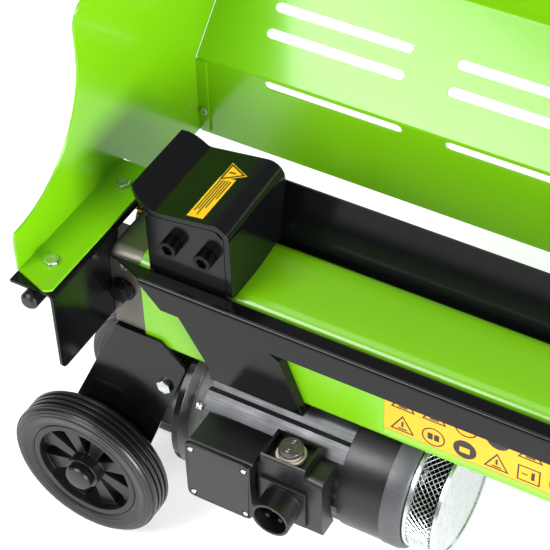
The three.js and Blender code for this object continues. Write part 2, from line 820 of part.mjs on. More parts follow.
const tyreProfile = (middle) => {
  const half = WHEEL_WIDTH / 2;
  const inner = RIM_RADIUS + GAP;
  const shoulder = rounded(
    [
      [inner, -half + 3],
      [WHEEL_RADIUS - 4, -half],
      [WHEEL_RADIUS, -half + 7],
      [WHEEL_RADIUS, half - 7],
      [WHEEL_RADIUS - 4, half],
      [inner, half - 3],
    ],
    [0, 3, 4, 4, 3, 0],
    1,
  );
  return [...shoulder, shoulder[0]].map(([r, h]) => [r, h + middle]);
};
const SPOKES = 8;
function rim(middle) {
  const centre = [AXLE_X, WHEEL_RADIUS];
  const barrel = ring("Y", centre, RIM_RADIUS, RIM_RADIUS - 7, middle - 15, middle + 15, 40);
  const hub = ring("Y", centre, 19, AXLE_RADIUS + GAP, middle - 19, middle + 19, 24);
  const spokes = Array.from({ length: SPOKES }, (_, i) => {
    const at = (2 * Math.PI * (i + 0.5)) / SPOKES;
    const across = (r, half, side) => [
      centre[0] + r * Math.cos(at) - side * half * Math.sin(at),
      centre[1] + r * Math.sin(at) + side * half * Math.cos(at),
    ];
    return prism(
      "Y",
      [across(15, 5, -1), across(RIM_RADIUS - 3, 11, -1), across(RIM_RADIUS - 3, 11, 1), across(15, 5, 1)],
      middle - 6,
      middle + 6,
    );
  });
  return cut(joined(barrel, hub, ...spokes), axleHole);
}
[["front", -1], ["rear", 1]].forEach(([side, sign]) => {
  const middle = sign * WHEEL_MIDDLE_Y;
  piece("tyre_" + side, turned("Y", [AXLE_X, WHEEL_RADIUS], tyreProfile(middle), 36), RUBBER);
  piece("rim_" + side, rim(middle), BLACK_PLASTIC);
});

// ---------------------------------------------------------------- pump
const GEAR_TEETH = 12;
const GEAR_PITCH_RADIUS = 14;
const GEAR_FROM = 5.5;
const GEAR_TO = 19.5;
const DRIVEN_Z = MOTOR_Z + 2 * GEAR_PITCH_RADIUS;
function gear(centreZ, turn, bore, stub) {
  const root = GEAR_PITCH_RADIUS - 2.6;
  const tip = GEAR_PITCH_RADIUS + 1.7;
  const pitch = (2 * Math.PI) / GEAR_TEETH;
  const outline = Array.from({ length: GEAR_TEETH }, (_, i) => i * pitch + turn).flatMap((at) =>
    [[root, -0.3], [tip, -0.12], [tip, 0.12], [root, 0.3]].map(([r, share]) => [
      MOTOR_Y + r * Math.cos(at + share * pitch),
      centreZ + r * Math.sin(at + share * pitch),
    ]),
  );
  const body = prism("X", outline, GEAR_FROM, GEAR_TO);
  if (bore) return cut(body, rod("X", [MOTOR_Y, centreZ], bore, 0, 60, 24));
  return joined(body, rod("X", [MOTOR_Y, centreZ], stub, -6, GEAR_TO, 20));
}
const GEAR_TURN = Math.PI / 2;
piece("drive_gear", gear(MOTOR_Z, GEAR_TURN, 8 + GAP, 0), STEEL);
piece("driven_gear", gear(DRIVEN_Z, -GEAR_TURN + Math.PI / GEAR_TEETH, 0, 6), STEEL);
const gearRoom = GEAR_PITCH_RADIUS + 2;
piece(
  "pump_body",
  cut(
    joined(
      prism("X", rounded(rectangle(-42, 38, 148, BEAM_BOTTOM - 2 * GAP), [10, 10, 3, 3]), -30, 20),
      box(-30, -3, -36, 32, 200, BLOCK_BOTTOM - LEG_SHEET - 2 * GAP),
    ),
    rod("X", [MOTOR_Y, MOTOR_Z], gearRoom, GEAR_FROM - GAP, 30, 32),
    rod("X", [MOTOR_Y, DRIVEN_Z], gearRoom, GEAR_FROM - GAP, 30, 32),
    rod("X", [MOTOR_Y, MOTOR_Z], 8 + GAP, -6, 30, 24),
    rod("X", [MOTOR_Y, DRIVEN_Z], 6 + GAP, -7, 30, 24),
  ),
  CAST_ALUMINIUM,
);

// ---------------------------------------------------------------- motor
const motorCentre = [MOTOR_Y, MOTOR_Z];
const FLANGE_RADIUS = 75;
const FLANGE_FROM = 47;
piece(
  "motor_end_bell",
  turned(
    "X",
    motorCentre,
    [
      [8 + GAP, 20.3],
      [34, 20.3],
      [34, FLANGE_FROM],
      [FLANGE_RADIUS, FLANGE_FROM],
      [FLANGE_RADIUS, FLANGE_FROM + 7],
      [60, FLANGE_FROM + 11],
      [FRAME_RADIUS, FRAME_START - GAP],
      [56, FRAME_START - GAP],
      [50, FRAME_START - 12],
      [8 + GAP, FRAME_START - 12],
      [8 + GAP, 20.3],
    ],
    40,
  ),
  CAST_ALUMINIUM,
);

// The frame is an extrusion: a round tube with four bolt lobes and low ribs between them.
const frameOutline = Array.from({ length: 96 }, (_, i) => {
  const at = (2 * Math.PI * i) / 96;
  const lobe = Math.max(0, -Math.cos(4 * at) - 0.72) / 0.28;
  const rib = i % 4 < 2 ? 0 : 2;
  const radius = FRAME_RADIUS + (lobe > 0 ? 5 * Math.min(1, lobe * 2) : rib);
  return [MOTOR_Y + radius * Math.cos(at), MOTOR_Z + radius * Math.sin(at)];
});
piece(
  "motor_frame",
  joined(
    prism("X", frameOutline, FRAME_START, FRAME_END, [circle(motorCentre, 57, 40)]),
    ring("X", motorCentre, 59, 8 + GAP, FRAME_END - 10, FRAME_END, 40),
  ),
  CAST_ALUMINIUM,
);
piece("stator", ring("X", motorCentre, 56.6, 40, 96, 206, 40), COPPER);
piece(
  "rotor_shaft",
  joined(
    rod("X", motorCentre, 8, GEAR_FROM, 284, 24),
    rod("X", motorCentre, 39, 98, 204, 32),
  ),
  STEEL,
);
const FAN_X = 258;
const blades = Array.from({ length: 8 }, (_, i) => {
  const at = (2 * Math.PI * i) / 8;
  const spot = (r, half) => [
    MOTOR_Y + r * Math.cos(at) - half * Math.sin(at),
    MOTOR_Z + r * Math.sin(at) + half * Math.cos(at),
  ];
  return prism("X", [spot(12, -1.5), spot(54, -1.5), spot(54, 1.5), spot(12, 1.5)], FAN_X, FAN_X + 18);
});
piece(
  "fan",
  joined(
    ring("X", motorCentre, 54, 8 + GAP, FAN_X - 3, FAN_X + GAP, 32),
    ring("X", motorCentre, 16, 8 + GAP, FAN_X, FAN_X + 18, 24),
    ...blades,
  ),
  BLACK_PLASTIC,
);
// The cover is open at its motor side and at its grille side.
const COVER_RADIUS = 69;
const COVER_END = 292;
const GRILLE_END = 326;
piece(
  "fan_cover",
  turned(
    "X",
    motorCentre,
    [
      [COVER_RADIUS - 2.5, FRAME_END + GAP],
      [COVER_RADIUS + 1.5, FRAME_END + GAP],
      [COVER_RADIUS + 1.5, COVER_END - 20],
      [COVER_RADIUS - 2, COVER_END],
      [COVER_RADIUS - 9, COVER_END],
      [COVER_RADIUS - 5, COVER_END - 20],
      [COVER_RADIUS - 2.5, FRAME_END + GAP],
    ],
    40,
  ).add(
    ring("X", motorCentre, COVER_RADIUS - 1, 20, FRAME_END + GAP, FRAME_END + 4, 40),
  ),
  BLACK_PLASTIC,
);
const windows = Array.from({ length: 12 }, (_, i) =>
  box(COVER_END + 6, GRILLE_END - 7, -9, 9, 50, 80)
    .rotate([(360 * i) / 12, 0, 0])
    .translate([0, MOTOR_Y, MOTOR_Z]),
);
piece(
  "fan_grille",
  cut(
    turned(
      "X",
      motorCentre,
      [
        [COVER_RADIUS - 8, COVER_END + GAP],
        [COVER_RADIUS - 3, COVER_END + GAP],
        [COVER_RADIUS - 4, GRILLE_END - 6],
        [COVER_RADIUS - 10, GRILLE_END],
        [0, GRILLE_END],
        [0, GRILLE_END - 2],
        [COVER_RADIUS - 11, GRILLE_END - 2],
        [COVER_RADIUS - 7, GRILLE_END - 7],
        [COVER_RADIUS - 8, COVER_END + GAP],
      ],
      36,
    ),
    ...windows,
  ),
  STEEL,
);

// ---------------------------------------------------------------- switchgear on the motor
const BOX_TOP = 238;
const BOX_BOTTOM = 166;
const BOX_FRONT = -108;
const LID_FRONT = -113;
const saddleTool = rod("X", motorCentre, 72.5, 60, 260, 48);
piece(
  "terminal_box",
  cut(
    prism("X", rounded(rectangle(BOX_FRONT, -62, BOX_BOTTOM, BOX_TOP), [4, 0, 0, 4]), 83, 152),
    saddleTool,
    box(86, 149, BOX_FRONT - 5, -84, BOX_BOTTOM + 3, BOX_TOP - 3),
  ),
  BLACK_PLASTIC,
);
piece(
  "terminal_lid",
  cut(
    prism(
      "Y",
      rounded(rectangle(81, 153, BOX_BOTTOM - 3, BOX_TOP + 2), 7, 3),
      LID_FRONT,
      BOX_FRONT - GAP,
    ),
    ...[[88, BOX_TOP - 6], [146, BOX_TOP - 6], [88, BOX_BOTTOM + 4], [146, BOX_BOTTOM + 4]].map(
      (at) => rod("Y", at, 3.6, LID_FRONT - 1, LID_FRONT + 3, 12),
    ),
  ),
  BLACK_PLASTIC,
);
piece("capacitor", rod("X", [-96, 202], 11, 90, 146, 24), PALE_PLASTIC);

const SWITCH_TOP = 251;
const BUTTON_X = 180.5;
const BUTTON_Y = -82;
const BUTTON_RADIUS = 11;
piece(
  "switch_housing",
  cut(
    joined(
      prism("X", rounded(rectangle(-100, -64, BOX_BOTTOM, SWITCH_TOP), [4, 0, 2, 4]), 157, 204),
      prism("X", rounded(rectangle(-100, -70, BOX_BOTTOM, SWITCH_TOP - 10), [4, 0, 4, 8]), 203, 222),
      box(153.3, 158, -100, -64, BOX_BOTTOM, BOX_TOP - 2),
    ),
    saddleTool,
    box(160, 201, -97, -67, SWITCH_TOP - 8, SWITCH_TOP + 5),
    rod("Z", [BUTTON_X, BUTTON_Y], BUTTON_RADIUS + 0.5, SWITCH_TOP - 26, SWITCH_TOP, 28),
  ),
  BLACK_PLASTIC,
);
piece(
  "start_button",
  joined(
    rod("Z", [BUTTON_X, BUTTON_Y], BUTTON_RADIUS, SWITCH_TOP - 16, SWITCH_TOP - 1, 28),
    rod("Z", [BUTTON_X, BUTTON_Y], 5, SWITCH_TOP - 19, SWITCH_TOP - 15, 16),
  ),
  PALE_PLASTIC,
);
// Appliance inlet for the mains lead: a shrouded socket with three pins.
const INLET = [182, 198];
const inletPins = [[0, 7], [-7, -4], [7, -4]].map(([dx, dz]) =>
  rod("Y", [INLET[0] + dx, INLET[1] + dz], 2.4, -121, -106, 12),
);
piece(
  "power_inlet",
  joined(
    cut(
      joined(
        rod("Y", INLET, 20, -128, -104, 28),
        box(INLET[0] - 24, INLET[0] + 24, -104, -100.3, INLET[1] - 24, INLET[1] + 24),
      ),
      rod("Y", INLET, 17, -130, -107, 28),
    ),
    ...inletPins,
  ),
  BLACK_PLASTIC,
);

// ---------------------------------------------------------------- control valve
const LEVER_PIVOT_Y = 18;
const LEVER_Z = 384;
const GRIP_END_Y = -142;
piece(
  "valve_spool",
  joined(
    rod("Z", [SPOOL_X, SPOOL_Y], SPOOL_RADIUS, 340, SPOOL_TOP, 20),
    rod("Z", [SPOOL_X, SPOOL_Y], SPOOL_RADIUS - 3, SPOOL_TOP - 1, LEVER_Z - 6.6, 16),
  ),
  STEEL,
);
const springPath = new (class extends THREE.Curve {
  getPoint(t, target = new THREE.Vector3()) {
    const turns = 2 * Math.PI * 4 * t;
    return target.set(
      SPOOL_X + 4 * Math.cos(turns),
      SPOOL_Y + 4 * Math.sin(turns),
      323.5 + 15 * t,
    );
  }
})();
const wire = new THREE.Shape(circle([0, 0], 0.7, 6).map(([a, b]) => new THREE.Vector2(a, b)));
piece(
  "valve_spring",
  solid(
    new THREE.ExtrudeGeometry(wire, { steps: 40, bevelEnabled: false, extrudePath: springPath }),
  ),
  STEEL,
);
piece(
  "control_lever",
  joined(
    box(SPOOL_X - 6, SPOOL_X + 6, GRIP_END_Y + 60, LEVER_PIVOT_Y + 8, LEVER_Z - 5, LEVER_Z + 1),
    rod("Y", [SPOOL_X, LEVER_Z], 5, GRIP_END_Y + 10, GRIP_END_Y + 62, 16),
    rod("X", [LEVER_PIVOT_Y, LEVER_Z - 2], 4, SPOOL_X - 12, BLOCK_LEFT - 6, 16),
  ),
  ZINC,
);
piece(
  "lever_grip",
  cut(
    turned(
      "Y",
      [SPOOL_X, LEVER_Z],
      [
        [0, GRIP_END_Y],
        [6, GRIP_END_Y],
        [9, GRIP_END_Y + 3],
        [9, GRIP_END_Y + 52],
        [7, GRIP_END_Y + 56],
        [0, GRIP_END_Y + 56],
      ],
      24,
    ),
    rod("Y", [SPOOL_X, LEVER_Z], 5 + GAP, GRIP_END_Y + 9.7, GRIP_END_Y + 70, 16),
  ),
  BLACK_PLASTIC,
);

// ---------------------------------------------------------------- oil service points and fasteners
piece(
  "bleed_screw",
  joined(
    rod("X", [BLEED_Y, BLEED_Z], 9, BLOCK_LEFT - 10, BLOCK_LEFT - GAP, 12),
    rod("X", [BLEED_Y, BLEED_Z], 4, BLOCK_LEFT - 1, BLOCK_LEFT + 12, 16),
  ),
  BRASS,
);
piece(
  "dipstick",
  joined(
    rod("X", [0, DIPSTICK_Z], 12, END_COVER_X + GAP, END_COVER_X + 14, 6),
    rod("X", [0, DIPSTICK_Z], 3.5, BEAM_LENGTH - 120, END_COVER_X + 1, 12),
  ),
  BLACK_PLASTIC,
);
const BOLT_X = -20;
const BOLT_Z = 336;
piece(
  "block_bolt",
  joined(
    rod("Y", [BOLT_X, BOLT_Z], 10.8, -BEAM_HALF_WIDTH - 10.5, -BEAM_HALF_WIDTH - 3, 6),
    rod("Y", [BOLT_X, BOLT_Z], 13, -BEAM_HALF_WIDTH - 3.2, -BEAM_HALF_WIDTH - GAP, 24),
  ),
  BLACK_OXIDE,
);

// ---------------------------------------------------------------- foot and lifting handle
const FOOT_X = 830;
const FOOT_SHEET = 4;
const legPanel = prism(
  "X",
  [[-44, BEAM_BOTTOM - GAP], [-120, 0], [120, 0], [44, BEAM_BOTTOM - GAP]],
  FOOT_X,
  FOOT_X + FOOT_SHEET,
  [rounded([[-24, 214], [-72, 48], [72, 48], [24, 214]], 12, 4)],
);
piece(
  "support_foot",
  joined(
    legPanel,
    box(FOOT_X, FOOT_X + 44, -120, 120, 0, FOOT_SHEET),
    box(FOOT_X - 30, FOOT_X + 30, -44, 44, BEAM_BOTTOM - GAP - FOOT_SHEET, BEAM_BOTTOM - GAP),
  ),
  BLACK_PAINT,
);
const HANDLE_Z = 300;
const handlePath = new THREE.CurvePath();
const handlePoint = (x, y) => new THREE.Vector3(x, y, HANDLE_Z);
const HANDLE_OUT = END_COVER_X + 62;
const HANDLE_BEND = 26;
const HANDLE_HALF = 34;
const handleStart = END_COVER_X + GAP;
handlePath.add(
  new THREE.LineCurve3(
    handlePoint(handleStart, -HANDLE_HALF),
    handlePoint(HANDLE_OUT - HANDLE_BEND, -HANDLE_HALF),
  ),
);
handlePath.add(
  new THREE.QuadraticBezierCurve3(
    handlePoint(HANDLE_OUT - HANDLE_BEND, -HANDLE_HALF),
    handlePoint(HANDLE_OUT, -HANDLE_HALF),
    handlePoint(HANDLE_OUT, -HANDLE_HALF + HANDLE_BEND),
  ),
);
handlePath.add(
  new THREE.LineCurve3(
    handlePoint(HANDLE_OUT, -HANDLE_HALF + HANDLE_BEND),
    handlePoint(HANDLE_OUT, HANDLE_HALF - HANDLE_BEND),
  ),
);
handlePath.add(
  new THREE.QuadraticBezierCurve3(
    handlePoint(HANDLE_OUT, HANDLE_HALF - HANDLE_BEND),
    handlePoint(HANDLE_OUT, HANDLE_HALF),
    handlePoint(HANDLE_OUT - HANDLE_BEND, HANDLE_HALF),
  ),
);
handlePath.add(
  new THREE.LineCurve3(
    handlePoint(HANDLE_OUT - HANDLE_BEND, HANDLE_HALF),
    handlePoint(handleStart, HANDLE_HALF),
  ),
);
const handleSection = new THREE.Shape(circle([0, 0], 9, 12).map(([a, b]) => new THREE.Vector2(a, b)));
piece(
  "lift_handle",
  solid(
    new THREE.ExtrudeGeometry(handleSection, {
      steps: 24,
      bevelEnabled: false,
      extrudePath: handlePath,
    }),
  ),
  BLACK_PAINT,
);

// ---------------------------------------------------------------- origin at the bottom centre
const bounds = new THREE.Box3().setFromObject(group);
const middle = bounds.getCenter(new THREE.Vector3());
group.position.set(-middle.x, -middle.y, -bounds.min.z);

export default group;
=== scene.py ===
# %% [markdown]
# # A log splitter, finished
# The mechanical model comes in as a fixed frame: every plate, gear and bolt hole has its place
# already. Here it gets its paint, rubber and bare metal, and the small pieces that the eye looks for:
# bolts, labels, the switch's clear cap, the tyre's tread and the fan's grille.

# %% Load the frame
import json
import math
import bpy
from mathutils import Matrix, Vector


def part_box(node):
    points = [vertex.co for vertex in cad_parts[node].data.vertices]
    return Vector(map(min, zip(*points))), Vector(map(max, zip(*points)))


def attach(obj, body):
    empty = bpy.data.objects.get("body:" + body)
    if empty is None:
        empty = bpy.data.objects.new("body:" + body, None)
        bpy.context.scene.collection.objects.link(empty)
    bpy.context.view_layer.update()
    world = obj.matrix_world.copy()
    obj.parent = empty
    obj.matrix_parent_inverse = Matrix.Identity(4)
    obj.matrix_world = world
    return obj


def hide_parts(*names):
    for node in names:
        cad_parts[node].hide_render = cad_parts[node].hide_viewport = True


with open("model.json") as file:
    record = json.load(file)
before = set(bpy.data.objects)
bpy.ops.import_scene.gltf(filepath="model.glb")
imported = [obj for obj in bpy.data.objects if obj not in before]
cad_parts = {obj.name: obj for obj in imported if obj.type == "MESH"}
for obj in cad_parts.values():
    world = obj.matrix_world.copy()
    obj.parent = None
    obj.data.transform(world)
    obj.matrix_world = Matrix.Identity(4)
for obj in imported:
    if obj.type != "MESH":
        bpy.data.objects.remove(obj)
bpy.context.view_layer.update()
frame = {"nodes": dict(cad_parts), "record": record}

# %% [markdown]
# ## Where things are
# The maker's drawing counts from the beam: x from its motor end, y from its middle, z from the ground,
# in millimetres. One function turns such a point into the frame's metres, so each size below can be
# read as on a drawing.

# %% A place on the drawing
beam_low, beam_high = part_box("beam_housing")
BEAM_MIDDLE_Y = (beam_low.y + beam_high.y) / 2
MM = 0.001


def place(x, y, z):
    return Vector((beam_low.x + x * MM, BEAM_MIDDLE_Y + y * MM, z * MM))


print("beam's motor end", tuple(round(v, 4) for v in place(0, 0, 0)))

# %% [markdown]
# ## Camera
# A long lens from above the operator's side, looking down at the pusher. The view is a close crop,
# so the camera stands well back and its lens is long. The small roll is that of a hand-held camera.

# %% Camera
TURN, RISE, ROLL = math.radians(31.3), math.radians(44.3), math.radians(-2.25)
CAMERA_SPOT = place(765.4, -1068, 1597.5)
LENS_MM, SHIFT_X, SHIFT_Y = 124.4, 0.0073, -0.0009
back = Vector((math.sin(TURN) * math.cos(RISE), -math.cos(TURN) * math.cos(RISE), math.sin(RISE)))
level = Vector((math.cos(TURN), math.sin(TURN), 0))
upward = back.cross(level)
right = level * math.cos(ROLL) + upward * math.sin(ROLL)
up = upward * math.cos(ROLL) - level * math.sin(ROLL)
camera = bpy.data.objects.new("camera", bpy.data.cameras.new("camera"))
bpy.context.scene.collection.objects.link(camera)
camera.matrix_world = Matrix.Translation(CAMERA_SPOT) @ Matrix(
    (right, up, back)
).transposed().to_4x4()
camera.data.lens = LENS_MM
camera.data.shift_x = SHIFT_X
camera.data.shift_y = SHIFT_Y
bpy.context.scene.camera = camera
print("camera", tuple(round(v, 3) for v in camera.location))

# %% [markdown]
# ## Floor and light
# Glossy black paint shows its surroundings more than its own colour, so the room is dim and the light
# comes from four soft panels: over the machine, behind it for the long pale bands, at its wedge end,
# and one in front that mirrors in the guard's sloping top. The floor is white and glows a little.

# %% Colours in sRGB hex


def colour(hex_code, alpha=1.0):
    """A hex colour turned to the linear values that the shader works in."""
    parts = [int(hex_code[i : i + 2], 16) / 255 for i in (1, 3, 5)]
    return [c / 12.92 if c <= 0.04045 else ((c + 0.055) / 1.055) ** 2.4 for c in parts] + [alpha]


def add_node(tree, kind, links=None, values=None, **settings):
    """Adds one node with its settings, socket values and incoming links."""
    node = tree.nodes.new(kind)
    for name, value in settings.items():
        setattr(node, name, value)
    for name, value in (values or {}).items():
        node.inputs[name].default_value = value
    for name, source in (links or {}).items():
        tree.links.new(source, node.inputs[name])
    return node


print("pure mid grey is", round(colour("#808080")[0], 3), "in linear light")

# %% Room, floor and lights
ROOM_STRENGTH, FLOOR_GLOW, FLOOR_SIZE = 0.35, 0.22, 30
world = bpy.data.worlds.new("room")
world.use_nodes = True
world.node_tree.nodes["Background"].inputs["Color"].default_value = colour("#f4f6f8")
world.node_tree.nodes["Background"].inputs["Strength"].default_value = ROOM_STRENGTH
bpy.context.scene.world = world
bpy.context.scene.view_settings.view_transform = "Standard"  # plain sRGB, so paint keeps its depth


def soft_light(name, spot, aim, size, power):
    lamp = bpy.data.lights.new(name, "AREA")
    lamp.shape = "RECTANGLE"
    lamp.size, lamp.size_y = size
    lamp.energy = power
    holder = bpy.data.objects.new(name, lamp)
    bpy.context.scene.collection.objects.link(holder)
    holder.location = spot
    holder.rotation_euler = (Vector(aim) - Vector(spot)).to_track_quat("-Z", "Y").to_euler()


soft_light("over", place(-500, -100, 2600), place(150, 0, 300), (1.4, 1.2), 12)
soft_light("behind", place(300, 2300, 1300), place(150, 0, 400), (2.6, 0.9), 16)
soft_light("side", place(2400, -1100, 900), place(0, 0, 450), (1.2, 1.2), 100)
soft_light("front", place(-958, -2140, 2554), place(300, 240, 480), (1.6, 1.2), 70)


def clean_start():
    if bpy.context.mode != "OBJECT":
        bpy.ops.object.mode_set(mode="OBJECT")
    bpy.ops.object.select_all(action="DESELECT")


clean_start()
bpy.ops.mesh.primitive_plane_add(size=FLOOR_SIZE, location=(0, 0, -0.5 * MM))
floor = bpy.context.object
floor.name = "floor"
paper = bpy.data.materials.new("matt_backdrop_paper")
paper.use_nodes = True
paper_tree = paper.node_tree
paper_shader = paper_tree.nodes["Principled BSDF"]
paper_fleck = add_node(paper_tree, "ShaderNodeTexNoise", values={"Scale": 3.0, "Detail": 4.0})
paper_tone = add_node(
    paper_tree,
    "ShaderNodeMix",
    links={"Factor": paper_fleck.outputs["Fac"]},
    data_type="RGBA",
)
paper_tone.inputs[6].default_value = colour("#fbfbfb")
paper_tone.inputs[7].default_value = colour("#ffffff")
paper_tree.links.new(paper_tone.outputs[2], paper_shader.inputs["Base Color"])
paper_shader.inputs["Roughness"].default_value = 0.9
paper_shader.inputs["Emission Strength"].default_value = FLOOR_GLOW  # as on a light table
floor.data.materials.append(paper)

# %% [markdown]
# ## Finishes
# Each finish is one paint or metal as it comes from the shop. They share a build: a slow noise drifts
# the colour a little, and a fine noise roughens the gloss and lifts the surface by hundredths of a
# millimetre. What differs is the scale of that grain, its depth, and how it is stretched.

# %% One finish


def finish(name, light, dark, gloss, grain_mm, lift_mm, drift_mm=45, stretch=(1, 1, 1), **shader):
    """A coat or a metal. gloss is (smoothest, roughest); grain and drift are sizes in millimetres."""
    made = bpy.data.materials.new(name)
    made.use_nodes = True
    tree = made.node_tree
    surface = tree.nodes["Principled BSDF"]
    spot = add_node(tree, "ShaderNodeTexCoord")
    laid = add_node(
        tree,
        "ShaderNodeMapping",
        links={"Vector": spot.outputs["Object"]},
        values={"Scale": stretch},
    )
    drift = add_node(
        tree,
        "ShaderNodeTexNoise",
        links={"Vector": spot.outputs["Object"]},
        values={"Scale": 1000 / drift_mm, "Detail": 5.0, "Roughness": 0.6},
    )
    tone = add_node(
        tree,
        "ShaderNodeMix",
        links={"Factor": drift.outputs["Fac"]},
        data_type="RGBA",
    )
    tone.inputs[6].default_value = colour(light)
    tone.inputs[7].default_value = colour(dark)
    grain = add_node(
        tree,
        "ShaderNodeTexNoise",
        links={"Vector": laid.outputs["Vector"]},
        values={"Scale": 1000 / grain_mm, "Detail": 3.0, "Roughness": 0.55},
    )
    both = add_node(
        tree,
        "ShaderNodeMath",
        links={0: grain.outputs["Fac"], 1: drift.outputs["Fac"]},
        operation="ADD",
    )
    polish = add_node(
        tree,
        "ShaderNodeMapRange",
        links={"Value": both.outputs["Value"]},
        values={"From Min": 0.7, "From Max": 1.3, "To Min": gloss[0], "To Max": gloss[1]},
    )
    relief = add_node(
        tree,
        "ShaderNodeBump",
        links={"Height": grain.outputs["Fac"]},
        values={"Strength": 0.6, "Distance": lift_mm * MM},
    )
    tree.links.new(tone.outputs[2], surface.inputs["Base Color"])
    tree.links.new(polish.outputs["Result"], surface.inputs["Roughness"])
    tree.links.new(relief.outputs["Normal"], surface.inputs["Normal"])
    for key, value in shader.items():
        surface.inputs[key.replace("_", " ")].default_value = value
    return made


# %% [markdown]
# Powder coat is baked on and flows into a skin with a faint orange peel about 2 mm across. The green
# one is glossy and carries a clear top layer; the black one is a shade smoother, with tight highlights.
# A real coat's IOR is near 1.5. The black one is set lower, so that it mirrors the white floor
# less.

# %% Paints
green_coat = finish(
    "powder_coat_green", "#76ba0c", "#70b308", (0.18, 0.26), 3.0, 0.004, 120, IOR=1.45,
    Coat_Weight=0.2, Coat_Roughness=0.1,
)
black_coat = finish(
    "powder_coat_black", "#08080a", "#0b0b0d", (0.13, 0.2), 4.0, 0.003, 90, IOR=1.33,
)
print("paints", green_coat.name, black_coat.name)

# %% [markdown]
# The pump block is cast aluminium, milled on its faces: warm grey and softly mottled. The motor's end
# bell is left as cast, so it is rougher and neutral. The motor's frame is extruded, so its fine lines
# run along the shaft; its grey is set darker than bare aluminium, partly to hold down its glare and
# partly as painted shade for the beam's shadow over the motor. Zinc plate is brighter and bluer.

# %% Metals
cast_aluminium = finish(
    "cast_aluminium_milled", "#726f67", "#605d56", (0.36, 0.5), 1.2, 0.02, 16, Metallic=1.0,
)
# The motor frame's grey is darkened, partly as painted shade for the beam's shadow over it.
shade_darkened_aluminium = finish(
    "aluminium_extruded_shade_darkened", "#6f7072", "#5c5d60", (0.42, 0.58), 1.6, 0.015, 30, (0.04, 1, 1),
    Metallic=1.0,
)
cast_bare = finish(
    "cast_aluminium_as_cast", "#8d8d8b", "#6c6c6b", (0.46, 0.62), 2.2, 0.06, 18, Metallic=1.0,
)
zinc_plate = finish(
    "steel_zinc_plated", "#dfe2e4", "#b9bec2", (0.18, 0.34), 1.5, 0.01, 8, Metallic=1.0,
)
black_oxide = finish(
    "steel_black_oxide", "#2b2b2e", "#1b1b1d", (0.32, 0.46), 0.8, 0.012, 10, Metallic=1.0,
)
machined_steel = finish(
    "steel_machined", "#a9abae", "#8e9195", (0.25, 0.4), 0.7, 0.01, 25, (1, 0.1, 0.1),
    Metallic=1.0,
)
hard_chrome = finish(
    "steel_hard_chrome", "#e2e4e6", "#d3d6d9", (0.05, 0.1), 0.9, 0.003, 40, Metallic=1.0,
)
turned_brass = finish(
    "brass_turned", "#c9a14a", "#a9853a", (0.22, 0.36), 0.8, 0.01, 9, Metallic=1.0,
)
copper_wire = finish(
    "copper_winding_varnished", "#a85a2c", "#8a4522", (0.25, 0.45), 1.4, 0.2, 12, (0.15, 1, 1),
    Metallic=1.0,
)
print("metals", [m.name for m in bpy.data.materials if "steel" in m.name or "alu" in m.name])

# %% [markdown]
# The tyres are solid rubber, fresh from the mould, with a slight sheen. The boxes are glass-filled
# nylon moulded against a spark-eroded tool, which gives a fine even grain.

# %% Rubber, plastics and label film
tyre_rubber = finish(
    "rubber_solid_tyre", "#0f0f10", "#151516", (0.26, 0.4), 1.1, 0.02, 20, IOR=1.52,
)
nylon_black = finish(
    "nylon_moulded_black", "#080809", "#0c0c0d", (0.32, 0.44), 0.9, 0.01, 35, IOR=1.53,
)
rim_plastic = finish(
    "polypropylene_black", "#08080a", "#0e0e10", (0.28, 0.4), 1.0, 0.008, 30, IOR=1.49,
)
acetal_pale = finish(
    "acetal_pale", "#d9d5c9", "#cbc6b8", (0.3, 0.42), 1.0, 0.01, 25, IOR=1.48,
)
label_yellow = finish(
    "vinyl_film_yellow", "#f0b010", "#e8a80c", (0.3, 0.4), 1.3, 0.006, 30, IOR=1.5,
)
label_lemon = finish(
    "vinyl_film_lemon", "#fcca28", "#f6c01c", (0.26, 0.36), 1.3, 0.006, 30, IOR=1.45,
)
label_black = finish(
    "printing_ink_black", "#17160f", "#1f1d14", (0.34, 0.44), 1.3, 0.004, 20, IOR=1.5,
)
label_green = finish(
    "vinyl_film_green", "#8fd43a", "#86cb33", (0.28, 0.38), 1.3, 0.006, 30, IOR=1.5,
)
ring_white = finish(
    "abs_ivory", "#d8d0bc", "#cbc3ae", (0.28, 0.4), 0.9, 0.01, 15, IOR=1.53,
)
clear_cap = finish(
    "silicone_clear", "#5d5a50", "#4b4940", (0.1, 0.2), 1.2, 0.01, 9, IOR=1.41,
    Transmission_Weight=0.5, Coat_Weight=0.4,
)
print("materials in all", len(bpy.data.materials))

# %% [markdown]
# ## The frame's own pieces
# Most of the frame's shapes are right as they are. Real sheet metal has no knife edges: each piece gets
# its loose triangles welded and a half-millimetre bevel, and the normals are weighted by face size so
# that flats stay flat and curves stay smooth.

# %% Dress the frame
SLOT_FINISH = {
    "green_coat": green_coat,
    "black_coat": black_coat,
    "cast_aluminium": cast_aluminium,
    "machined_steel": machined_steel,
    "chrome_rod": hard_chrome,
    "zinc": zinc_plate,
    "black_oxide": black_oxide,
    "tyre_rubber": tyre_rubber,
    "seal_rubber": tyre_rubber,
    "black_plastic": nylon_black,
    "pale_plastic": acetal_pale,
    "copper_winding": copper_wire,
    "brass_screw": turned_brass,
}
OWN_FINISH = {
    "motor_frame": shade_darkened_aluminium,
    "motor_end_bell": cast_bare,
    "rim_front": rim_plastic,
    "rim_rear": rim_plastic,
    "fan_cover": rim_plastic,
    "fan_grille": zinc_plate,
    "lever_grip": rim_plastic,
}
slot_of = {s["node"]: s["material_slot"] for s in frame["record"]["subparts"]}


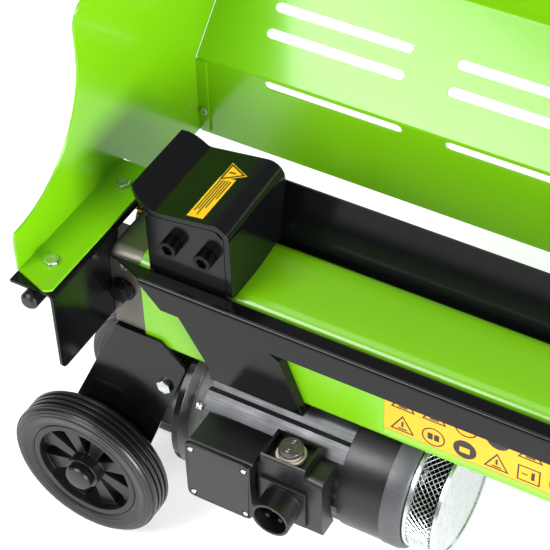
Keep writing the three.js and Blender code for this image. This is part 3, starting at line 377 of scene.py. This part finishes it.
def dress(node, edge_mm):
    part = frame["nodes"][node]
    clean_start()
    bpy.context.view_layer.objects.active = part
    part.select_set(True)
    bpy.ops.mesh.customdata_custom_splitnormals_clear()
    part.data.polygons.foreach_set("use_smooth", [True] * len(part.data.polygons))
    part.data.materials.clear()
    part.data.materials.append(OWN_FINISH.get(node, SLOT_FINISH[slot_of[node]]))
    weld = part.modifiers.new("weld", "WELD")
    weld.merge_threshold = 0.01 * MM
    edge = part.modifiers.new("edge", "BEVEL")
    edge.width = edge_mm * MM
    edge.segments = 2
    edge.limit_method = "ANGLE"
    edge.angle_limit = math.radians(35)
    part.modifiers.new("normals", "WEIGHTED_NORMAL")


EDGE_MM = {"pump_block": 1.2, "end_cover": 1.2, "terminal_lid": 1.0, "switch_housing": 1.0,
           "terminal_box": 0.8, "tyre_front": 1.0, "tyre_rear": 1.0, "rim_front": 0.9,
           "rim_rear": 0.9, "valve_spring": 0.05, "lift_handle": 0.2, "wedge_blade": 0.6,
           "piston_seal": 0.2, "beam_housing": 0.4, "guard_back_panel": 0.35}
for node in frame["nodes"]:
    dress(node, EDGE_MM.get(node, 0.5))
bell = frame["nodes"]["motor_end_bell"]
bell.data.materials.append(black_coat)
bell_low, bell_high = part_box("motor_end_bell")
bell_axis = (bell_low + bell_high) / 2
BELL_RIM_MM, BELL_BORE_MM = 73, 36
for face in bell.data.polygons:
    from_axis = face.center - bell_axis
    radial = Vector((0, from_axis.y, from_axis.z)).length
    outer_face = face.normal.x < -0.9 and radial > BELL_BORE_MM * MM
    if radial > BELL_RIM_MM * MM or outer_face:
        face.material_index = 1
print("dressed", len(frame["nodes"]))

# %% [markdown]
# ## Helpers for new pieces
# Round pieces are made the way a lathe makes them: a point is extruded along half of the section, and
# the line is spun about its axis. Every new piece ends at the origin with its place in its mesh.

# %% Finish a new piece


def settle(piece, spot, direction=(0, 0, 1), roll=0.0):
    """Moves a piece made at the origin, turning its Z axis to the direction, and fixes it there."""
    clean_start()
    turn = Vector((0, 0, 1)).rotation_difference(Vector(direction)).to_matrix().to_4x4()
    piece.matrix_world = Matrix.Translation(spot) @ turn @ Matrix.Rotation(roll, 4, "Z")
    bpy.context.view_layer.objects.active = piece
    piece.select_set(True)
    bpy.ops.object.transform_apply(location=True, rotation=True, scale=True)


def done(piece, name, body, material, smooth=30):
    """Names a piece, gives it its finish and lets it ride on its body."""
    clean_start()
    piece.name = name
    piece.data.name = name
    piece.data.materials.clear()
    piece.data.materials.append(material)
    bpy.context.view_layer.objects.active = piece
    piece.select_set(True)
    bpy.ops.object.shade_smooth_by_angle(angle=math.radians(smooth))
    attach(piece, body)
    return piece


def edit(piece, select="SELECT"):
    clean_start()
    bpy.context.view_layer.objects.active = piece
    piece.select_set(True)
    bpy.ops.object.mode_set(mode="EDIT")
    bpy.ops.mesh.select_mode(type="VERT")
    bpy.ops.mesh.select_all(action=select)


def soften(piece, width_mm, segments=2, angle=30):
    """A bevel on the sharp edges, applied."""
    edge = piece.modifiers.new("edge", "BEVEL")
    edge.width = width_mm * MM
    edge.segments = segments
    edge.limit_method = "ANGLE"
    edge.angle_limit = math.radians(angle)
    clean_start()
    bpy.context.view_layer.objects.active = piece
    piece.select_set(True)
    bpy.ops.object.modifier_apply(modifier=edge.name)


def lathe(section, steps=48):
    """Spins a section of (radius, height) points in millimetres about Z."""
    clean_start()
    first = section[0]
    bpy.ops.mesh.primitive_plane_add(size=MM, location=(0, 0, 0))
    piece = bpy.context.object
    edit(piece)
    bpy.ops.mesh.merge(type="CENTER")
    bpy.ops.transform.translate(value=(first[0] * MM, 0, first[1] * MM))
    for before, after in zip(section, section[1:]):
        step = ((after[0] - before[0]) * MM, 0, (after[1] - before[1]) * MM)
        bpy.ops.mesh.extrude_region_move(TRANSFORM_OT_translate={"value": step})
    bpy.ops.mesh.select_all(action="SELECT")
    bpy.ops.mesh.spin(steps=steps, angle=2 * math.pi, center=(0, 0, 0), axis=(0, 0, 1))
    bpy.ops.mesh.select_all(action="SELECT")
    bpy.ops.mesh.remove_doubles(threshold=0.002 * MM)
    bpy.ops.mesh.normals_make_consistent(inside=False)
    bpy.ops.object.mode_set(mode="OBJECT")
    return piece


def block(size, spot=(0, 0, 0)):
    """A box of a size in millimetres, its base in the middle of the spot."""
    clean_start()
    bpy.ops.mesh.primitive_cube_add(size=1, location=(0, 0, 0))
    piece = bpy.context.object
    piece.scale = [s * MM for s in size]
    piece.location = [spot[0] * MM, spot[1] * MM, (spot[2] + size[2] / 2) * MM]
    bpy.ops.object.transform_apply(location=True, rotation=True, scale=True)
    return piece


def join(pieces):
    clean_start()
    for piece in pieces:
        piece.select_set(True)
    bpy.context.view_layer.objects.active = pieces[0]
    bpy.ops.object.join()
    return pieces[0]


print("helpers ready")

# %% [markdown]
# ## Hex bolts
# A hex head is a six-sided bar with its top corners turned off, above a flat washer. The head is a
# six-sided cylinder; the top is inset and drawn up to leave the turned-off rim, and the washer is lathed.

# %% Bolt


def hex_bolt(name, spot, direction, flats_mm, height_mm, body, material, roll=0.0):
    clean_start()
    radius = flats_mm / math.sqrt(3)
    washer_mm = 1.6
    bpy.ops.mesh.primitive_cylinder_add(
        vertices=6,
        radius=radius * MM,
        depth=height_mm * MM,
        location=(0, 0, (washer_mm + height_mm / 2) * MM),
    )
    head = bpy.context.object
    edit(head, "DESELECT")
    bpy.ops.mesh.select_mode(type="FACE")
    bpy.ops.object.mode_set(mode="OBJECT")
    for face in head.data.polygons:
        face.select = face.normal.z > 0.9
    bpy.ops.object.mode_set(mode="EDIT")
    bpy.ops.mesh.inset(thickness=radius * 0.12 * MM)
    bpy.ops.transform.translate(value=(0, 0, height_mm * 0.12 * MM))
    bpy.ops.mesh.inset(thickness=radius * 0.35 * MM)
    bpy.ops.transform.translate(value=(0, 0, -0.35 * MM))
    bpy.ops.object.mode_set(mode="OBJECT")
    soften(head, 0.35, 2, 25)
    reach = flats_mm * 0.62
    washer = lathe(
        [(0, 0), (reach, 0), (reach, washer_mm * 0.7), (reach - 0.5, washer_mm), (0, washer_mm)], 32
    )
    bolt = join([head, washer])
    settle(bolt, spot, direction, roll)
    return done(bolt, name, body, material)


FLANGE_TOP = 399.8
LIFT = 0.1
bolts = []
for end, x in (("motor_end", -57.5), ("wedge_end", 799)):
    for side, y in (("front", -99), ("rear", 21)):
        bolts.append(
            hex_bolt(
                f"guard_bolt_{end}_{side}", place(x, y, FLANGE_TOP + LIFT), (0, 0, 1), 14, 6,
                "frame", zinc_plate, 0.3,
            )
        )
for side, y in (("front", -49.1), ("rear", 49.1)):
    bolts.append(
        hex_bolt(
            f"bracket_bolt_{side}", place(20, y, 224), (0, math.copysign(1, y), 0), 15, 7,
            "frame", zinc_plate, 0.2,
        )
    )
bolts.append(
    hex_bolt(
        "beam_end_screw", place(-16, -45.1, 368), (0, -1, 0), 9, 4, "frame", zinc_plate, 0.4
    )
)
bolts.append(
    hex_bolt(
        "guard_corner_bolt_motor_end", place(-71, 189.3, 363), (0, -1, 0), 8, 4,
        "frame", zinc_plate, 0.1,
    )
)
bolts.append(
    hex_bolt(
        "guard_corner_bolt_wedge_end", place(812.5, 189.3, 363), (0, -1, 0), 8, 4,
        "frame", zinc_plate, 0.1,
    )
)
bolts.append(
    hex_bolt(
        "beam_side_screw", place(149, -45.1, 320), (0, -1, 0), 6, 3, "frame", zinc_plate, 0.2
    )
)
MOTOR_Y, MOTOR_Z, BELL_FACE_X = -10.0, 194.0, 72.2
for number, (across, upward_mm) in enumerate(((-55.5, 44), (55.5, 44), (-55.5, -44), (55.5, -44))):
    bolts.append(
        hex_bolt(
            f"motor_bell_bolt_{number + 1}",
            place(BELL_FACE_X, MOTOR_Y + across, MOTOR_Z + upward_mm), (1, 0, 0), 7, 4,
            "frame", zinc_plate, 0.3,
        )
    )
print("bolts", len(bolts))

# %% [markdown]
# ## Pusher label
# A yellow film on a dark backing on top of the pusher, with a triangle and some bars. It is modelled,
# so it keeps its real thickness of a few tenths and catches its own edge light. The marks say nothing.

# %% Label on the pusher
TOP_BACK, CREASE, SLOPE = 458.0, 25.0, 12.5 / 80


def on_top(x, y, rise=0.0):
    return place(x, y, TOP_BACK + (x - CREASE) * SLOPE + rise)


top_normal = Vector((-SLOPE, 0, 1)).normalized()


def mark(name, size, centre, rise, material, turn=0.0):
    """A thin flat mark on the pusher's top: size in millimetres, centre on the top plate."""
    film = block((size[0], size[1], 0.25))
    soften(film, 0.08, 1)
    settle(film, on_top(centre[0], centre[1], rise), top_normal, turn)
    return done(film, name, "pusher", material)


LABEL_X, LABEL_Y = 67, -16
mark("pusher_label_backing", (18.4, 60), (LABEL_X, LABEL_Y), 0.02, label_black)
mark("pusher_label_film", (17, 58), (LABEL_X, LABEL_Y), 0.3, label_lemon)
BARS = [(-5.4, 46), (-2.7, 43), (0.0, 50), (2.7, 40), (5.4, 26)]
for number, (across, length) in enumerate(BARS):
    mark(
        f"pusher_label_bar_{number + 1}", (1.15, length),
        (LABEL_X + across, LABEL_Y + 25 - length / 2), 0.58, label_black,
    )


def frame_ring(sides, radius_mm, line_mm, thick_mm=0.25, stretch=1.0):
    """The flat outline of a triangle, square or circle, drawn line_mm wide."""
    clean_start()
    bpy.ops.mesh.primitive_circle_add(vertices=sides, radius=radius_mm * MM, fill_type="NOTHING")
    piece = bpy.context.object
    edit(piece)
    if sides == 4:
        bpy.ops.transform.rotate(value=math.radians(45), orient_axis="Z", center_override=(0, 0, 0))
    inner = 1 - line_mm / (radius_mm * math.cos(math.pi / sides))
    bpy.ops.mesh.extrude_edges_move()
    bpy.ops.transform.resize(value=(inner, inner, 1), center_override=(0, 0, 0))
    bpy.ops.mesh.select_all(action="SELECT")
    bpy.ops.transform.resize(value=(stretch, 1, 1), center_override=(0, 0, 0))
    bpy.ops.mesh.extrude_region_move(TRANSFORM_OT_translate={"value": (0, 0, thick_mm * MM)})
    bpy.ops.mesh.select_all(action="SELECT")
    bpy.ops.mesh.normals_make_consistent(inside=False)
    bpy.ops.object.mode_set(mode="OBJECT")
    return piece


def solid_sign(sides, radius_mm, thick_mm=0.2):
    clean_start()
    bpy.ops.mesh.primitive_cylinder_add(
        vertices=sides,
        radius=radius_mm * MM,
        depth=thick_mm * MM,
        location=(0, 0, thick_mm / 2 * MM),
    )
    piece = bpy.context.object
    soften(piece, 0.06, 1)
    return piece


SIGN_Y = 21
TO_REAR = math.radians(-90)
plate = solid_sign(3, 15.6)
settle(plate, on_top(LABEL_X, SIGN_Y, 0.36), top_normal, TO_REAR)
done(plate, "pusher_label_sign", "pusher", label_lemon)
outline = frame_ring(3, 13.6, 1.4)
settle(outline, on_top(LABEL_X, SIGN_Y, 0.58), top_normal, TO_REAR)
done(outline, "pusher_label_sign_outline", "pusher", label_black)
mark("pusher_label_sign_bar", (6.5, 1.7), (LABEL_X, SIGN_Y), 0.58, label_black)

# %% [markdown]
# ## Label on the beam
# Two rows of yellow tiles on the beam's side, each with a plain black shape, above a strip of paler
# green film. One tile is placed at a time, and the shapes take turns.

# %% Label on the beam
BEAM_SIDE = -45.0


def side_film(name, x, z, wide, high, rise, material, turn=0.0):
    """A flat film on the beam's side; z is its lower edge."""
    film = block((wide, high, 0.25))
    soften(film, 0.08, 1)
    settle(film, place(x, BEAM_SIDE - rise, z + high / 2), (0, -1, 0), turn)
    return done(film, name, "frame", material)


PITCH, COLUMNS = 31, 8
FIRST_X, ROW_Z = 276, (330, 301)
LABEL_WIDE = PITCH * COLUMNS + 6
label_middle = FIRST_X + PITCH * (COLUMNS - 1) / 2
side_film("beam_label_film", label_middle, 287, LABEL_WIDE, 60, 0.06, label_yellow)
side_film("beam_label_strip", label_middle, 281, LABEL_WIDE, 7, 0.06, label_green)


def side_shape(name, shape, x, z, material):
    settle(shape, place(x, BEAM_SIDE - 0.34, z), (0, -1, 0))
    return done(shape, name, "frame", material)


for row, z in enumerate(ROW_Z):
    for column in range(COLUMNS):
        x = FIRST_X + column * PITCH
        name = f"beam_label_sign_{row + 1}_{column + 1}"
        kind = (column + row) % 4 if column > 0 else 0
        if kind == 0 or (row == 0 and column == 1):
            side_shape(name, frame_ring(3, 14, 1.3), x, z - 2, label_black)
            side_film(name + "_bar", x, z - 3, 2.0, 7, 0.34, label_black)
            side_film(name + "_foot", x, z - 6.5, 9, 1.6, 0.34, label_black)
        elif kind == 1:
            side_shape(name, frame_ring(4, 14, 1.2, stretch=1.1), x, z, label_black)
            side_film(name + "_post", x + 4, z - 5, 3.2, 10, 0.34, label_black)
            side_film(name + "_dash", x - 4, z - 1, 6, 1.4, 0.34, label_black)
        elif kind == 2:
            side_shape(name, frame_ring(28, 11.5, 1.2), x, z, label_black)
            side_film(name + "_page_left", x - 3.2, z - 4, 5, 8, 0.34, label_black)
            side_film(name + "_page_right", x + 3.2, z - 4, 5, 8, 0.34, label_black)
        else:
            side_shape(name, solid_sign(28, 11.5), x, z, label_black)
            side_film(name + "_block", x, z - 4, 10, 7, 0.6, label_yellow)
print("signs", 2 * COLUMNS)

# %% [markdown]
# ## Switch cap
# The start button wears a clear silicone cap, ringed like a target, held down by a white collar. Both
# are round, so both are lathed; the rings are steps in the cap's section.

# %% Switch cap and collar
button_low, button_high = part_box("start_button")
button_spot = Vector(
    ((button_low.x + button_high.x) / 2, (button_low.y + button_high.y) / 2, button_high.z)
)
cap = lathe(
    [(0, -0.6), (11.2, -0.6), (12.2, 0.6), (12.2, 4.2), (11.4, 5.6), (10.0, 6.2), (9.2, 5.7),
     (8.0, 5.8), (7.2, 6.5), (6.4, 5.9), (5.0, 6.0), (4.2, 6.7), (3.4, 6.1), (2.0, 6.2), (0, 6.6)],
    56,
)
settle(cap, button_spot + Vector((0, 0, 0.05 * MM)))
done(cap, "start_button_cap", "button", clear_cap)
collar = lathe(
    [(11.8, -7.6), (14.8, -7.6), (14.8, -3.9), (14.2, -3.2), (12.6, -3.2), (11.8, -3.9),
     (11.8, -7.6)],
    56,
)
settle(collar, button_spot)
done(collar, "switch_collar", "frame", ring_white)
print("cap at", tuple(round(v, 4) for v in button_spot))

# %% [markdown]
# ## Tyres
# The tread has four ribs round the wheel with grooves between, and a raised ring on each sidewall. The
# section is drawn once, spun with plenty of steps, and each wheel gets its own mesh.

# %% Tyres
HALF, OUTER, BEAD = 17.6, 86.0, 62.3
RIBS = [(-12.6, -8.0), (-5.2, -1.3), (1.3, 5.2), (8.0, 12.6)]
tread = [(BEAD, -14.5), (64.6, -16.2), (66.4, -16.2), (67.2, -17.0), (70.6, -17.0), (71.6, -HALF),
         (76, -HALF), (77, -16.9), (79.6, -16.9), (80.4, -16.0), (82.5, -15.6), (83.6, -13.8)]
for low, high in RIBS:
    tread += [(83.2, low - 0.5), (OUTER - 0.3, low), (OUTER, low + 0.6), (OUTER, high - 0.6),
              (OUTER - 0.3, high), (83.2, high + 0.5)]
tread += [(83.6, 13.8), (82.5, 15.6), (80.4, 16.0), (79.6, 16.9), (77, 16.9), (76, HALF),
          (71.6, HALF), (70.6, 17.0), (67.2, 17.0), (66.4, 16.2), (64.6, 16.2), (BEAD, 14.5),
          (BEAD, -14.5)]
for side in ("front", "rear"):
    low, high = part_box(f"tyre_{side}")
    tyre = lathe(tread, 96)
    settle(tyre, (low + high) / 2, (0, 1, 0))
    done(tyre, f"treaded_tyre_{side}", f"wheel_{side}", tyre_rubber, 35)
    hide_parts(f"tyre_{side}")
print("tyres, points in the section", len(tread))

# %% [markdown]
# ## Fan grille
# The end of the motor is closed by a drum of expanded metal. Each quad of a cylinder gets a centre point,
# the old edges are dissolved, and what is left is a net of diamonds that a wireframe turns to strands.

# %% Fan grille
grille_low, grille_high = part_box("fan_grille")
grille_mid = (grille_low + grille_high) / 2
drum_mm = (grille_high.x - grille_low.x) / MM
half_drum = (drum_mm - 5) / 2 * MM
clean_start()
bpy.ops.mesh.primitive_cylinder_add(
    vertices=64, radius=62.5 * MM, depth=(drum_mm - 5) * MM, end_fill_type="NOTHING"
)
net = bpy.context.object
edit(net)
for cut in (-9, -3, 3, 9):
    bpy.ops.mesh.select_all(action="SELECT")
    bpy.ops.mesh.bisect(plane_co=(0, 0, cut * MM), plane_no=(0, 0, 1))
bpy.ops.mesh.select_all(action="SELECT")
bpy.ops.mesh.poke()
bpy.ops.mesh.select_mode(type="EDGE")
bpy.ops.mesh.select_all(action="DESELECT")
bpy.ops.object.mode_set(mode="OBJECT")
points = net.data.vertices
for rib in net.data.edges:
    a, b = points[rib.vertices[0]].co, points[rib.vertices[1]].co
    upright = (a.xy - b.xy).length < 0.2 * MM
    around = abs(a.z - b.z) < 0.2 * MM and abs(a.z) < half_drum - 0.2 * MM
    rib.select = upright or around
bpy.ops.object.mode_set(mode="EDIT")
bpy.ops.mesh.dissolve_edges(use_verts=False)
bpy.ops.object.mode_set(mode="OBJECT")
strands = net.modifiers.new("strands", "WIREFRAME")
strands.thickness = 1.3 * MM
strands.use_even_offset = False
clean_start()
bpy.context.view_layer.objects.active = net
net.select_set(True)
bpy.ops.object.modifier_apply(modifier=strands.name)
half_mm = half_drum / MM
rings = [
    lathe([(59.5, a), (65.6, a), (65.6, b), (59.5, b), (59.5, a)], 64)
    for a, b in ((-half_mm - 2, -half_mm + 1.5), (half_mm - 1.5, half_mm + 2))
]
disc = lathe([(0, half_mm - 1), (60, half_mm - 1), (60, half_mm + 1), (0, half_mm + 1)], 64)
grille = join([net, *rings, disc])
settle(grille, grille_mid, (1, 0, 0))
done(grille, "fan_grille_net", "frame", zinc_plate)
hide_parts("fan_grille")
_, cover_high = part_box("fan_cover")
trim = lathe([(67.2, 0), (71.4, 0), (71.4, 14), (69.6, 19), (66.2, 20.6), (67.2, 0)], 72)
settle(trim, Vector((cover_high.x - 20.8 * MM, grille_mid.y, grille_mid.z)), (1, 0, 0))
# The trim shares the motor frame's grey, darkened partly as painted shade.
done(trim, "fan_cover_trim", "frame", shade_darkened_aluminium)
print("grille faces", len(grille.data.polygons))

# %% [markdown]
# ## Hub caps
# A pressed cap hides each axle end: a shallow dome with a flat rim.

# %% Hub caps
axle_low, axle_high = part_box("axle")
axle_mid = (axle_low + axle_high) / 2
for side, way in (("front", -1), ("rear", 1)):
    hub = lathe(
        [(13.2, 0), (15.2, 0), (15.2, 5.2), (13.8, 7.2), (9, 8.0), (0, 8.2), (0, 7.0), (9, 6.9),
         (12.4, 6.2), (13.2, 4.8), (13.2, 0)],
        48,
    )
    settle(hub, Vector((axle_mid.x, BEAM_MIDDLE_Y + way * 93.8 * MM, axle_mid.z)), (0, way, 0))
    done(hub, f"hub_cap_{side}", f"wheel_{side}", rim_plastic)
print("hub caps", 2)

# %% [markdown]
# ## Box screws
# Four pan-head screws hold the terminal box's lid, each a low dome with a slot round its foot.

# %% Box screws
lid_low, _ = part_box("terminal_lid")
for number, (x, z) in enumerate(((88, 232), (146, 232), (88, 170), (146, 170))):
    screw = lathe([(0, -2.4), (3.2, -2.4), (3.2, -1.2), (2.6, 0.2), (1.2, 0.6), (0, 0.1)], 24)
    settle(screw, Vector((place(x, 0, 0).x, lid_low.y, z * MM)), (0, -1, 0))
    done(screw, f"terminal_lid_screw_{number + 1}", "frame", zinc_plate)
print("lid screws", 4)
